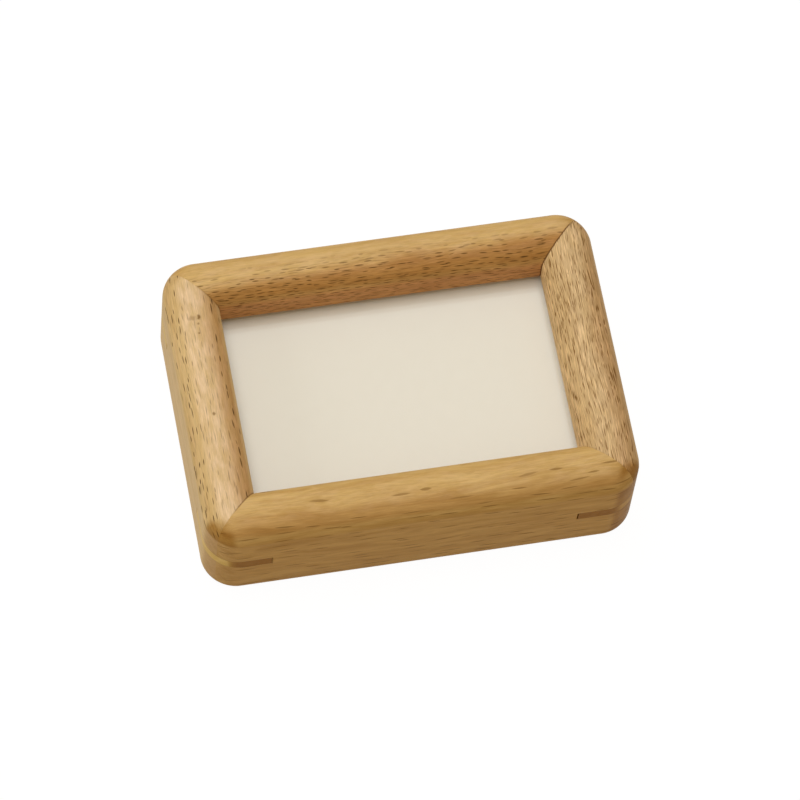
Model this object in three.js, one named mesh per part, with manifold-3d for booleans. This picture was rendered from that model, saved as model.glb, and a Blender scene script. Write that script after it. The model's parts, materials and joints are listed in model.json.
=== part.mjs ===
// A small free-standing photo frame of solid beech with a clear acrylic front.
//
// Four rounded rails are mitred and glued into a deep ring, and a wooden spline lies in a kerf
// across each corner. The picture stack lies in a rebate behind the rails' front lip: the acrylic
// sheet, the picture card and a backing board. Four swivel clips, riveted to the board, turn into
// slots in the rails and hold the stack in.
//
// Millimetres. The frame lies on its back: the picture faces +Z, X runs along the long side and Y
// along the short side. The origin is the middle of the back face.
import * as THREE from "three";
import { mergeVertices, toCreasedNormals } from "three/addons/utils/BufferGeometryUtils.js";
import Module from "manifold-3d";

const wasm = await Module();
wasm.setup();

// Driving dimensions: the wooden ring
const FRAME_WIDTH = 105; // outside, along X
const FRAME_HEIGHT = 75; // outside, along Y
const FRAME_DEPTH = 30; // from the back face to the crest of the rails
const RAIL_WIDTH = 13; // from the outside face to the sight edge of the opening
const CORNER_RADIUS = 8.5; // of the outside corners, seen from the front
const FRONT_OUTER_RADIUS = 5.6; // round along the front's outside edge
const FRONT_INNER_WIDTH = 6.4; // elliptical round into the opening: how far it reaches across the rail
const FRONT_INNER_DEPTH = 5; // and how far it drops below the crest
const BACK_EDGE_RADIUS = 3; // round along the back's outside edge
const LIP_DEPTH = 10; // from the crest to the lip's underside, where the acrylic rests
const REBATE_WIDTH = 4; // how far the lip covers the edge of the stack

// Driving dimensions: the corner splines
const SPLINE_THICKNESS = 3.2;
const SPLINE_REACH = 15.4; // along each outside face, from where the sharp corner would be
const SPLINE_FROM_BACK = 13.3; // from the back face to the spline's nearer face

// Driving dimensions: the picture stack
const ACRYLIC_THICKNESS = 2;
const CARD_THICKNESS = 0.4;
const BOARD_THICKNESS = 3;
const SHEET_ARRIS = 0.25; // chamfer on the edges of the acrylic and the board

// Driving dimensions: the swivel clips and their rivets
const CLIP_THICKNESS = 1;
const CLIP_EYE_RADIUS = 4;
const CLIP_TIP_RADIUS = 2.5;
const CLIP_SETBACK = 7; // from the rebate's wall to the clip's pivot
const CLIP_ENGAGEMENT = 2.5; // how far the tip goes into the rail
const RIVET_SHANK_RADIUS = 1.5;
const RIVET_HEAD_RADIUS = 2.9;
const RIVET_HEAD_HEIGHT = 1;
const RIVET_FLANGE_RADIUS = 2.4;
const RIVET_FLANGE_THICKNESS = 0.6;

// Clearances
const GLUE_LINE = 0.1; // between glued faces
const SHEET_CLEARANCE = 0.4; // around the sheets, inside the rebate
const SHEET_GAP = 0.1; // between the sheets, and from the lip to the acrylic
const CLIP_PLAY = 0.2; // above and below a clip
const SLOT_CLEARANCE = 0.5; // around a clip's tip, inside the rail
const RIVET_CLEARANCE = 0.15; // around a rivet's shank and flange

// Stock left on outside the finished faces, for the shaping cuts to remove
const SAW_ALLOWANCE = 1;

// Smoothness of the round faces
const ROUND_STEPS = 8; // per quarter turn of an edge round
const CORNER_STEPS = 12; // per quarter turn of an outside corner
const CLIP_STEPS = 12; // per arc of a clip's outline
const RIVET_SIDES = 24;
const SLOT_SIDES = 48;
const CREASE_ANGLE = Math.PI / 6;

// Levels and positions that follow from the sizes above
const LIP_Z = FRAME_DEPTH - LIP_DEPTH;
const ACRYLIC_Z = LIP_Z - SHEET_GAP - ACRYLIC_THICKNESS;
const CARD_Z = ACRYLIC_Z - SHEET_GAP - CARD_THICKNESS;
const BOARD_Z = CARD_Z - SHEET_GAP - BOARD_THICKNESS;
const CLIP_Z = BOARD_Z - CLIP_PLAY - CLIP_THICKNESS;
const REBATE_WALL = RAIL_WIDTH - REBATE_WIDTH; // from the outside face to the rebate's wall
const INNER_ROUND_WIDTH = Math.min(FRONT_INNER_WIDTH, RAIL_WIDTH - FRONT_OUTER_RADIUS);
const SHEET_WIDTH = FRAME_WIDTH - 2 * (REBATE_WALL + SHEET_CLEARANCE);
const SHEET_HEIGHT = FRAME_HEIGHT - 2 * (REBATE_WALL + SHEET_CLEARANCE);
const CLIP_REACH = CLIP_SETBACK + CLIP_ENGAGEMENT;
const CLIP_HOLE_RADIUS = RIVET_SHANK_RADIUS + RIVET_CLEARANCE;

// The four sides of the ring. Each rail is drawn as the one at -Y and turned into its place.
const SIDES = [
  { name: "bottom", turn: 0, length: FRAME_WIDTH, across: FRAME_HEIGHT },
  { name: "right", turn: Math.PI / 2, length: FRAME_HEIGHT, across: FRAME_WIDTH },
  { name: "top", turn: Math.PI, length: FRAME_WIDTH, across: FRAME_HEIGHT },
  { name: "left", turn: -Math.PI / 2, length: FRAME_HEIGHT, across: FRAME_WIDTH },
];

const CORNERS = [
  { name: "bottom_left", x: -1, y: -1 },
  { name: "bottom_right", x: 1, y: -1 },
  { name: "top_right", x: 1, y: 1 },
  { name: "top_left", x: -1, y: 1 },
];

// Finishes
const BEECH = { color: 0xcda66e, roughness: 0.55, metalness: 0 };
const SPLINE_WOOD = { color: 0x97683a, roughness: 0.6, metalness: 0 };
const ACRYLIC = { color: 0xf4f8f8, roughness: 0.05, metalness: 0, opacity: 0.2, transparent: true };
const CARD = { color: 0xe6dcca, roughness: 0.85, metalness: 0 };
const FIBREBOARD = { color: 0x7a5a3c, roughness: 0.8, metalness: 0 };
const PLATED_STEEL = { color: 0xb9bcc0, roughness: 0.35, metalness: 1 };

// A closed geometry as a solid that can be cut and joined, and back again
function solid(geometry) {
  const bare = geometry.clone();
  bare.deleteAttribute("normal");
  bare.deleteAttribute("uv");
  const merged = mergeVertices(bare);
  return new wasm.Manifold(
    new wasm.Mesh({
      numProp: 3,
      vertProperties: merged.attributes.position.array,
      triVerts: new Uint32Array(merged.index.array),
    }),
  );
}

function geometryOf(cut) {
  const mesh = cut.getMesh();
  const geometry = new THREE.BufferGeometry();
  geometry.setAttribute("position", new THREE.BufferAttribute(mesh.vertProperties, 3));
  geometry.setIndex(new THREE.BufferAttribute(mesh.triVerts, 1));
  return toCreasedNormals(geometry, CREASE_ANGLE);
}

// A flat shape as a plate, from height z upwards
function plate(shape, thickness, z, arris = 0, curveSegments = CLIP_STEPS) {
  const geometry = new THREE.ExtrudeGeometry(shape, {
    depth: thickness - 2 * arris,
    bevelEnabled: arris > 0,
    bevelSize: arris,
    bevelThickness: arris,
    bevelOffset: -arris,
    bevelSegments: 1,
    curveSegments,
  });
  return geometry.translate(0, 0, z + arris);
}

function rectangle(width, height) {
  return new THREE.Shape([
    new THREE.Vector2(-width / 2, -height / 2),
    new THREE.Vector2(width / 2, -height / 2),
    new THREE.Vector2(width / 2, height / 2),
    new THREE.Vector2(-width / 2, height / 2),
  ]);
}

// A rectangle with round corners, drawn inset from the ring's outside face
function outsideOutline(length, across, inset) {
  const x = length / 2 - inset;
  const y = across / 2 - inset;
  const radius = Math.max(CORNER_RADIUS - inset, GLUE_LINE);
  const quarter = Math.PI / 2;
  const points = [];
  [[x, y], [-x, y], [-x, -y], [x, -y]].forEach(([cornerX, cornerY], corner) => {
    const centreX = cornerX - Math.sign(cornerX) * radius;
    const centreY = cornerY - Math.sign(cornerY) * radius;
    for (let step = 0; step <= CORNER_STEPS; step++) {
      const angle = quarter * (corner + step / CORNER_STEPS);
      points.push([centreX + radius * Math.cos(angle), centreY + radius * Math.sin(angle)]);
    }
  });
  return points;
}

// A closed skin through rings of equally many points, from the lowest ring to the highest
function loft(rings) {
  const count = rings[0].length;
  const triangles = [];
  for (let level = 0; level + 1 < rings.length; level++) {
    for (let k = 0; k < count; k++) {
      const a = level * count + k;
      const b = level * count + ((k + 1) % count);
      triangles.push(a, b, b + count, a, b + count, a + count);
    }
  }
  const top = (rings.length - 1) * count;
  for (let k = 1; k + 1 < count; k++) {
    triangles.push(0, k + 1, k, top, top + k, top + k + 1);
  }
  const geometry = new THREE.BufferGeometry();
  geometry.setAttribute("position", new THREE.Float32BufferAttribute(rings.flat(2), 3));
  geometry.setIndex(triangles);
  return geometry;
}

// The outside of the glued ring: round corners, with both edges rounded over
function roundedBlock(length, across) {
  const rings = [];
  const addRing = (inset, z) => {
    rings.push(outsideOutline(length, across, inset).map(([x, y]) => [x, y, z]));
  };
  for (let step = 0; step <= ROUND_STEPS; step++) {
    const angle = ((Math.PI / 2) * step) / ROUND_STEPS;
    addRing(BACK_EDGE_RADIUS * (1 - Math.sin(angle)), BACK_EDGE_RADIUS * (1 - Math.cos(angle)));
  }
  for (let step = 0; step <= ROUND_STEPS; step++) {
    const angle = ((Math.PI / 2) * step) / ROUND_STEPS;
    const z = FRAME_DEPTH - FRONT_OUTER_RADIUS * (1 - Math.sin(angle));
    addRing(FRONT_OUTER_RADIUS * (1 - Math.cos(angle)), z);
  }
  return solid(loft(rings));
}

// The rail's moulded section, as distance from the outside face and height above the back
function railSection() {
  const section = new THREE.Shape();
  section.moveTo(-SAW_ALLOWANCE, -SAW_ALLOWANCE);
  section.lineTo(REBATE_WALL, -SAW_ALLOWANCE);
  section.lineTo(REBATE_WALL, LIP_Z);
  section.lineTo(RAIL_WIDTH, LIP_Z);
  const roundX = RAIL_WIDTH - INNER_ROUND_WIDTH;
  const roundZ = FRAME_DEPTH - FRONT_INNER_DEPTH;
  section.absellipse(roundX, roundZ, INNER_ROUND_WIDTH, FRONT_INNER_DEPTH, 0, Math.PI / 2);
  section.lineTo(roundX, FRAME_DEPTH + SAW_ALLOWANCE);
  section.lineTo(-SAW_ALLOWANCE, FRAME_DEPTH + SAW_ALLOWANCE);
  return section;
}

// A length of moulding along X with its outside face at -across / 2, mitred at both ends
function mitredMoulding(length, across) {
  const geometry = new THREE.ExtrudeGeometry(railSection(), {
    depth: 1,
    bevelEnabled: false,
    curveSegments: ROUND_STEPS,
  });
  const place = geometry.getAttribute("position");
  const jointGap = (GLUE_LINE / 2) * Math.SQRT2;
  for (let k = 0; k < place.count; k++) {
    const inwards = place.getX(k);
    const halfLength = length / 2 - inwards - jointGap;
    const end = place.getZ(k) > 0 ? 1 : -1;
    place.setXYZ(k, end * halfLength, inwards - across / 2, place.getY(k));
  }
  return solid(geometry);
}

// The triangle that a spline fills at one corner. The kerf is a glue line larger, and open outside.
function cornerTriangle(corner, length, across, glueLine = 0) {
  const over = SAW_ALLOWANCE;
  const reach = SPLINE_REACH + over + glueLine * Math.SQRT2;
  const x = length / 2;
  const y = across / 2;
  return new THREE.Shape([
    new THREE.Vector2(corner.x * (x + over), corner.y * (y + over)),
    new THREE.Vector2(corner.x * (x - reach), corner.y * (y + over)),
    new THREE.Vector2(corner.x * (x + over), corner.y * (y - reach)),
  ]);
}

function splineKerf(corner, length, across) {
  const triangle = cornerTriangle(corner, length, across, GLUE_LINE);
  return solid(plate(triangle, SPLINE_THICKNESS + 2 * GLUE_LINE, SPLINE_FROM_BACK - GLUE_LINE));
}

function clipPivotY(across) {
  return -(across / 2 - REBATE_WALL - CLIP_SETBACK);
}

// The slot for a clip's tip is part of a disc about the pivot, so that the tip can swing out
function clipSlot(across) {
  const radius = CLIP_REACH + SLOT_CLEARANCE;
  const height = CLIP_THICKNESS + 2 * SLOT_CLEARANCE;
  const disc = new THREE.CylinderGeometry(radius, radius, height, SLOT_SIDES);
  disc.rotateX(Math.PI / 2);
  disc.translate(0, clipPivotY(across), CLIP_Z + CLIP_THICKNESS / 2);
  return solid(disc);
}

function railGeometry({ length, across }) {
  const kerfs = CORNERS.filter((corner) => corner.y < 0).map((corner) => splineKerf(corner, length, across));
  const shaped = mitredMoulding(length, across).intersect(roundedBlock(length, across));
  const sawn = kerfs.reduce((rail, kerf) => rail.subtract(kerf), shaped);
  return geometryOf(sawn.subtract(clipSlot(across)));
}

function splineGeometry(corner) {
  const triangle = cornerTriangle(corner, FRAME_WIDTH, FRAME_HEIGHT);
  const slip = solid(plate(triangle, SPLINE_THICKNESS, SPLINE_FROM_BACK));
  return geometryOf(slip.intersect(roundedBlock(FRAME_WIDTH, FRAME_HEIGHT)));
}

// The backing board, with a stepped hole for each rivet
function boardGeometry() {
  const board = solid(plate(rectangle(SHEET_WIDTH, SHEET_HEIGHT), BOARD_THICKNESS, BOARD_Z, SHEET_ARRIS));
  const flangeRadius = RIVET_FLANGE_RADIUS + RIVET_CLEARANCE;
  const flangeZ = BOARD_Z + BOARD_THICKNESS - RIVET_FLANGE_THICKNESS - RIVET_CLEARANCE;
  const boardTop = BOARD_Z + BOARD_THICKNESS + SAW_ALLOWANCE;
  const steps = [
    [-SAW_ALLOWANCE, 0],
    [-SAW_ALLOWANCE, CLIP_HOLE_RADIUS],
    [flangeZ - BOARD_Z, CLIP_HOLE_RADIUS],
    [flangeZ - BOARD_Z, flangeRadius],
    [boardTop - BOARD_Z, flangeRadius],
    [boardTop - BOARD_Z, 0],
  ];
  const drill = turned(steps, RIVET_SIDES);
  const drilled = SIDES.reduce((rest, side) => {
    const hole = drill.clone().translate(0, clipPivotY(side.across), BOARD_Z).rotateZ(side.turn);
    return rest.subtract(solid(hole));
  }, board);
  return geometryOf(drilled);
}

// A body turned about Z, from a profile of heights and radii
function turned(profile, sides) {
  const points = profile.map(([height, radius]) => new THREE.Vector2(radius, height));
  return new THREE.LatheGeometry(points, sides).rotateX(Math.PI / 2);
}

// A swivel clip lies flat, its pivot at the origin and its tip towards -Y
function clipGeometry() {
  const tipCentre = CLIP_REACH - CLIP_TIP_RADIUS;
  const lean = Math.acos((CLIP_EYE_RADIUS - CLIP_TIP_RADIUS) / tipCentre);
  const outline = new THREE.Shape();
  outline.absarc(0, 0, CLIP_EYE_RADIUS, -Math.PI / 2 + lean, (3 * Math.PI) / 2 - lean);
  outline.absarc(0, -tipCentre, CLIP_TIP_RADIUS, (3 * Math.PI) / 2 - lean, (3 * Math.PI) / 2 + lean);
  const eye = new THREE.Path();
  eye.absarc(0, 0, CLIP_HOLE_RADIUS, 0, 2 * Math.PI, true);
  outline.holes.push(eye);
  return plate(outline, CLIP_THICKNESS, CLIP_Z);
}

// A rivet, from its domed head behind the clip to the flange that is let into the board's front
function rivetGeometry() {
  const headSeat = CLIP_Z - CLIP_PLAY;
  const boardFront = BOARD_Z + BOARD_THICKNESS;
  const flangeSeat = boardFront - RIVET_FLANGE_THICKNESS;
  const profile = [];
  for (let step = 0; step <= ROUND_STEPS; step++) {
    const angle = ((Math.PI / 2) * step) / ROUND_STEPS;
    profile.push([headSeat - RIVET_HEAD_HEIGHT * Math.cos(angle), RIVET_HEAD_RADIUS * Math.sin(angle)]);
  }
  profile.push([headSeat, RIVET_SHANK_RADIUS]);
  profile.push([flangeSeat, RIVET_SHANK_RADIUS]);
  profile.push([flangeSeat, RIVET_FLANGE_RADIUS]);
  profile.push([boardFront, RIVET_FLANGE_RADIUS]);
  profile.push([boardFront, 0]);
  return turned(profile, RIVET_SIDES);
}

function piece(name, geometry, finish) {
  const mesh = new THREE.Mesh(geometry, new THREE.MeshStandardMaterial(finish));
  mesh.name = name;
  return mesh;
}

// The glued wooden ring: four rails and four corner splines
function woodenRing() {
  const ring = new THREE.Group();
  for (const side of SIDES) {
    const rail = piece(`rail_${side.name}`, railGeometry(side), BEECH);
    rail.rotation.z = side.turn;
    ring.add(rail);
  }
  for (const corner of CORNERS) {
    ring.add(piece(`corner_spline_${corner.name}`, splineGeometry(corner), SPLINE_WOOD));
  }
  return ring;
}

// The sheets behind the lip, from the front to the back
function pictureStack() {
  const sheet = rectangle(SHEET_WIDTH, SHEET_HEIGHT);
  const stack = new THREE.Group();
  stack.add(
    piece("acrylic_sheet", plate(sheet, ACRYLIC_THICKNESS, ACRYLIC_Z, SHEET_ARRIS), ACRYLIC),
    piece("picture_card", plate(sheet, CARD_THICKNESS, CARD_Z), CARD),
    piece("backing_board", boardGeometry(), FIBREBOARD),
  );
  return stack;
}

// One clip and its rivet on each side of the board
function clipOnSide(side) {
  const arm = new THREE.Group();
  arm.rotation.z = side.turn;
  const pivot = new THREE.Group();
  pivot.position.y = clipPivotY(side.across);
  pivot.add(
    piece(`swivel_clip_${side.name}`, clipGeometry(), PLATED_STEEL),
    piece(`clip_rivet_${side.name}`, rivetGeometry(), PLATED_STEEL),
  );
  arm.add(pivot);
  return arm;
}

const photoFrame = new THREE.Group();
photoFrame.add(woodenRing(), pictureStack(), ...SIDES.map(clipOnSide));

export default photoFrame;
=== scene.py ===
# %% [markdown]
# # A beech photo frame with an acrylic front
#
# The object is a small, deep photo frame that lies on its back. Four lengths of rounded beech moulding
# are mitred and glued into a ring, and a slip of beech, a spline, crosses each corner. Behind the lip of
# the rails lie a clear acrylic sheet, a cream card and a backing board, and four swivel clips hold that
# stack in.
#
# The solids are already built and packed to size. This lesson loads them as a fixed frame and dresses
# them: each wooden or metal piece is modelled again with a finer surface in the same place, and every
# finish is made of nodes.

# %% Load the fixed frame
import json
import math

import bmesh
import bpy
from mathutils import Matrix, Vector


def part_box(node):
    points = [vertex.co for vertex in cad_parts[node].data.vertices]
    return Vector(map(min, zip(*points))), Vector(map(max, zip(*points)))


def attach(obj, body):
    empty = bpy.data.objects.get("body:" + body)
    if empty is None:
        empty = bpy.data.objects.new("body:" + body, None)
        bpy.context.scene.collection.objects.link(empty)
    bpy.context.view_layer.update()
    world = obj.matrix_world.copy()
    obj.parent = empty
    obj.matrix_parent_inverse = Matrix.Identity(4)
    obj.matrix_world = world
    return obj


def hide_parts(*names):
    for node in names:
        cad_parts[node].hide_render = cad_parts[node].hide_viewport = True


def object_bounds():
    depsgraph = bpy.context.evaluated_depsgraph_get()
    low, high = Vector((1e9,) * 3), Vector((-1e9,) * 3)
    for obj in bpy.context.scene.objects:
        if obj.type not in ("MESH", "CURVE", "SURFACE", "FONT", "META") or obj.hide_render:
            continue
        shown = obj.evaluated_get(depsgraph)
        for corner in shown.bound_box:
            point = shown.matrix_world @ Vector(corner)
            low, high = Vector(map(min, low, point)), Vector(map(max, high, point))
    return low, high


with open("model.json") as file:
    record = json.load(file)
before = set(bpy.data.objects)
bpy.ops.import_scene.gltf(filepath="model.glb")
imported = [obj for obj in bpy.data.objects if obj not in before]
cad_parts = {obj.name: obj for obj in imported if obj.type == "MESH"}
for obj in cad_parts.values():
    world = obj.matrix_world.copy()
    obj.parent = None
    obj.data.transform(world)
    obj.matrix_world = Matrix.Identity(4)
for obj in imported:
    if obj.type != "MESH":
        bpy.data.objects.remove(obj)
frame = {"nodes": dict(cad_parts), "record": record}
cad_low, cad_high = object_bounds()
MM = 0.001


def in_mm(lengths):
    return [round(length / MM, 2) for length in lengths]


print("solids:", len(frame["nodes"]), "box in mm:", in_mm(cad_high - cad_low))

# %% [markdown]
# The sizes that the solids already settle are read from their boxes, so a change there is followed here.
# Only clearances and roundings, which a box can't tell, are written again.

# %% Sizes from the solids
FRAME_WIDTH, FRAME_HEIGHT, FRAME_DEPTH = cad_high - cad_low
rail_low, rail_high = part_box("rail_bottom")
sheet_low, sheet_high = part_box("acrylic_sheet")
RAIL_WIDTH = rail_high.y - rail_low.y
SHEET_GAP = 0.1 * MM
SHEET_CLEARANCE = 0.4 * MM
LIP_Z = sheet_high.z + SHEET_GAP
REBATE_WALL = sheet_low.x - cad_low.x - SHEET_CLEARANCE
CORNER_RADIUS = 8.5 * MM
FRONT_OUTER_RADIUS = 5.6 * MM
FRONT_INNER_WIDTH = 6.4 * MM
FRONT_INNER_DEPTH = 5 * MM
BACK_EDGE_RADIUS = 3 * MM
BACK_ARRIS = 0.4 * MM
QUARTER = math.pi / 2
SIDES = {
    "bottom": {"turn": 0.0, "length": FRAME_WIDTH, "across": FRAME_HEIGHT},
    "right": {"turn": QUARTER, "length": FRAME_HEIGHT, "across": FRAME_WIDTH},
    "top": {"turn": 2 * QUARTER, "length": FRAME_WIDTH, "across": FRAME_HEIGHT},
    "left": {"turn": -QUARTER, "length": FRAME_HEIGHT, "across": FRAME_WIDTH},
}
print("rail width, lip height and rebate wall in mm:", in_mm((RAIL_WIDTH, LIP_Z, REBATE_WALL)))

# %% [markdown]
# ## The camera
#
# The photograph looks down at the frame from a long way off, a little from the left, and is turned
# slightly about its own axis. A long lens keeps the edges almost parallel. The camera is built from
# three angles and a distance, and aims at the middle of the box; a small shift sets the framing.

# %% Camera
VIEW_AZIMUTH = math.radians(-17.47)
VIEW_ELEVATION = math.radians(64.244)
VIEW_ROLL = math.radians(7.843)
VIEW_DISTANCE = 1305.2 * MM
LENS_MM = 244.34
SENSOR_MM = 36
FRAMING_SHIFT = (0.00345, -0.0034)


def placed(name, data):
    """A new object in the scene."""
    item = bpy.data.objects.new(name, data)
    bpy.context.scene.collection.objects.link(item)
    return item


def make_camera():
    turn = Matrix.Rotation(VIEW_AZIMUTH, 3, "Z")
    turn = turn @ Matrix.Rotation(QUARTER - VIEW_ELEVATION, 3, "X")
    turn = turn @ Matrix.Rotation(VIEW_ROLL, 3, "Z")
    data = bpy.data.cameras.new("photo_camera")
    data.sensor_width = SENSOR_MM
    data.lens = LENS_MM
    data.shift_x, data.shift_y = FRAMING_SHIFT
    camera = placed("photo_camera", data)
    place = (cad_low + cad_high) / 2 + turn.col[2] * VIEW_DISTANCE
    camera.matrix_world = Matrix.Translation(place) @ turn.to_4x4()
    bpy.context.scene.camera = camera
    return camera


print("camera at", [round(x, 3) for x in make_camera().location])

# %% [markdown]
# ## Sums of sockets
#
# Both the shapes and the finishes below are node trees written in code, and most of their nodes only
# add, multiply or compare. Python lets a class say what its signs mean, so each node's output is wrapped
# in a `Value`. Then `a * b + c` adds two nodes and links them, and `place.z` splits a vector.

# %% Values
def sign_for(operation):
    """What a sign between values does: it adds a node for the operation."""
    return lambda *values: values[0].nodes.math(operation, *values)


class Value:
    """A node's output. Numbers and tuples can stand beside it in a sum."""

    def __init__(self, nodes, socket):
        self.nodes = nodes
        self.socket = socket
        self.is_vector = socket.type in ("VECTOR", "RGBA")

    __add__ = sign_for("ADD")
    __sub__ = sign_for("SUBTRACT")
    __mul__ = sign_for("MULTIPLY")
    __truediv__ = sign_for("DIVIDE")
    __pow__ = sign_for("POWER")
    __abs__ = sign_for("ABSOLUTE")
    __gt__ = sign_for("GREATER_THAN")
    __lt__ = sign_for("LESS_THAN")
    x = property(lambda self: self.part(0))
    y = property(lambda self: self.part(1))
    z = property(lambda self: self.part(2))

    def part(self, axis):
        return self.nodes.value("SeparateXYZ", {0: self}, axis)

    def between(self, low, high):
        """Goes from low to high as this value goes from 0 to 1."""
        return self.nodes.math("MULTIPLY_ADD", self, high - low, low)

    def ramp(self, low, high, to_low=0.0, to_high=1.0):
        """A smooth step from one range to another."""
        parts = dict(enumerate((self, low, high, to_low, to_high)))
        return self.nodes.value("MapRange", parts, interpolation_type="SMOOTHSTEP")

    def mix(self, first, second, blend="MIX"):
        """A blend of two colours, with this value as the share of the second."""
        parts = {"Factor": self, 6: first, 7: second}
        return self.nodes.value("Mix", parts, 2, data_type="RGBA", blend_type=blend)

    def noise(self, scale, detail=2.0, roughness=0.5, distortion=0.0, out="Fac"):
        """Noise from 0 to 1 at this place. The scale is one number, or one for each axis."""
        parts = {"Vector": self * scale, "Scale": 1.0, "Detail": detail, "Roughness": roughness,
                 "Distortion": distortion}
        return self.nodes.value("TexNoise", parts, out)


# %% Nodes
class Nodes:
    """Adds nodes to one tree."""

    def __init__(self, tree):
        self.tree = tree

    def plug(self, socket, value):
        """Links a value to a socket, or sets the socket to a constant."""
        if isinstance(value, Value):
            self.tree.links.new(value.socket, socket)
        elif socket.type == "VECTOR" and not isinstance(value, tuple):
            socket.default_value = (value,) * 3
        else:
            socket.default_value = value

    def add(self, kind, inputs=None, **settings):
        """A new node. Its inputs go by label or number."""
        node = self.tree.nodes.new(kind)
        for name, value in settings.items():
            setattr(node, name, value)
        for key, value in (inputs or {}).items():
            self.plug(node.inputs[key], value)
        return node

    def value(self, kind, inputs=None, out=0, **settings):
        """One output of a new shader or math node."""
        return Value(self, self.add(f"ShaderNode{kind}", inputs, **settings).outputs[out])

    def values(self, kind, inputs=None, **settings):
        """All outputs of a new shader node, by label."""
        return self.labelled(self.add(f"ShaderNode{kind}", inputs, **settings))

    def labelled(self, node):
        return {socket.name: Value(self, socket) for socket in node.outputs}

    def shape(self, kind, inputs=None, **settings):
        """What a geometry node makes."""
        return Value(self, self.add(f"GeometryNode{kind}", inputs, **settings).outputs[0])

    def math(self, operation, *values, out=0):
        """An operation on numbers, or on vectors where there is one among the values."""
        vectors = any(isinstance(value, tuple) or getattr(value, "is_vector", False) for value in values)
        kind = "VectorMath" if vectors else "Math"
        return self.value(kind, dict(enumerate(values)), out, operation=operation)

    def combine(self, x=0.0, y=0.0, z=0.0):
        return self.value("CombineXYZ", {0: x, 1: y, 2: z})

    def turned(self, vector, angle):
        """A vector turned about the upright axis."""
        parts = {"Vector": vector, "Angle": angle}
        return self.value("VectorRotate", parts, rotation_type="Z_AXIS")

    def millimetres(self):
        """A surface point's place on the object, in millimetres."""
        return self.value("TexCoord", out="Object") * (1 / MM)

    def put_out(self, socket, geometry, finish):
        """Ends a shape's tree: instances are made real and get their material."""
        real = self.shape("RealizeInstances", {0: geometry})
        self.plug(socket, self.shape("SetMaterial", {"Geometry": real, "Material": finish}))

    def done(self):
        print("node tree", self.tree.name, "has", len(self.tree.nodes), "nodes")
        return self.tree


def new_tree(name, kind, inputs, outputs):
    """A node tree: its nodes, what it is given and what it puts out. Sockets are listed by type."""
    tree = bpy.data.node_groups.new(name, f"{kind}NodeTree")
    for direction, sockets in (("INPUT", inputs), ("OUTPUT", outputs)):
        for socket_type, labels in sockets.items():
            for label in labels.split(", "):
                tree.interface.new_socket(label, in_out=direction, socket_type=f"NodeSocket{socket_type}")
    nodes = Nodes(tree)
    return nodes, nodes.labelled(nodes.add("NodeGroupInput")), nodes.add("NodeGroupOutput").inputs


# %% [markdown]
# A modifier's inputs are reached by their identifiers, so `grown` looks each one up by its label, sets
# it, and only then lets Blender evaluate the object. The evaluated result becomes a plain mesh, and the
# object goes, with its modifiers. `show` makes a finished piece of such a mesh.

# %% From a node tree to a plain mesh
SHARP_ANGLE = math.radians(35)
BEVEL_ANGLE = math.radians(40)
BEVEL_SEGMENTS = 2
WELD_DISTANCE = 1e-7


def plain_mesh(item):
    """The mesh that an object's modifiers make of it. The object is dropped."""
    scene_graph = bpy.context.evaluated_depsgraph_get()
    mesh = bpy.data.meshes.new_from_object(item.evaluated_get(scene_graph))
    bpy.data.objects.remove(item)
    return mesh


def grown(name, start_mesh, tree, values, bevel=0.0):
    """The mesh that a Geometry Nodes tree makes from a starting mesh."""
    holder = placed(name + "_start", start_mesh)
    modifier = holder.modifiers.new("shape", "NODES")
    modifier.node_group = tree
    keys = {item.name: item.identifier for item in tree.interface.items_tree if item.in_out == "INPUT"}
    for label, value in values.items():
        modifier[keys[label]] = value
    if bevel:
        edge = holder.modifiers.new("edge", "BEVEL")
        edge.width = bevel
        edge.segments = BEVEL_SEGMENTS
        edge.limit_method = "ANGLE"
        edge.angle_limit = BEVEL_ANGLE
    mesh = plain_mesh(holder)
    mesh.name = name
    return mesh


def welded(shape, mesh):
    """Writes a bmesh to a mesh, with doubled points joined and the faces turned outwards."""
    bmesh.ops.remove_doubles(shape, verts=shape.verts, dist=WELD_DISTANCE)
    bmesh.ops.recalc_face_normals(shape, faces=shape.faces)
    shape.to_mesh(mesh)
    shape.free()
    return mesh


def show(name, mesh, body, slot, *nodes):
    """A finished piece: it rides on a body and stands for the solids named."""
    mesh.shade_smooth()
    mesh.set_sharp_from_angle(angle=SHARP_ANGLE)
    piece = placed(name, mesh)
    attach(piece, body)
    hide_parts(*nodes)
    print(name, "stands for", ", ".join(nodes), "with", len(mesh.polygons), "faces")


# %% [markdown]
# ## Beech
#
# Beech shows four things at this size. The year rings run along the board as faint darker streaks, with
# fine fibres between them. The rays, thin plates of cells that run from the pith outwards, are cut across
# on some faces and show there as dark spindles, 1 to 3 mm long, among finer pale and dark dashes; on
# faces that run along them they lie open as pale flakes. The heartwood side of a board is browner, and
# here that brown also paints shade on the slopes that face away from the lamp. And the ends, where the
# grain is cut through, drink oil and go darker. Besides these, a paler colour paints a sheen on the
# crest.
# An image would have to be fitted to each face. A solid texture is better: it is worked out at each point
# in space, so streaks and spindles run round the edges as they do in real wood. The figure is one node
# group, and each rail places it with its own direction and strength. Its parts come first. In all of
# them X runs along the grain, Z along the rays, and a millimetre is 1.

# %% Streaks, mottles and flakes
RING_PITCH = 2.3
STREAK_SCALE = (0.05, 0.6, 0.5)
MOTTLE_SCALE = (0.2, 0.5, 0.5)
FLAKE_SCALE = (0.3, 1.1, 0.6)
# The colour of the painted sheen on the crest
PAINTED_SHEEN_COLOUR = (0.74, 0.52, 0.31, 1)
FLAKE_COLOUR = (0.74, 0.47, 0.26, 1)


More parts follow.
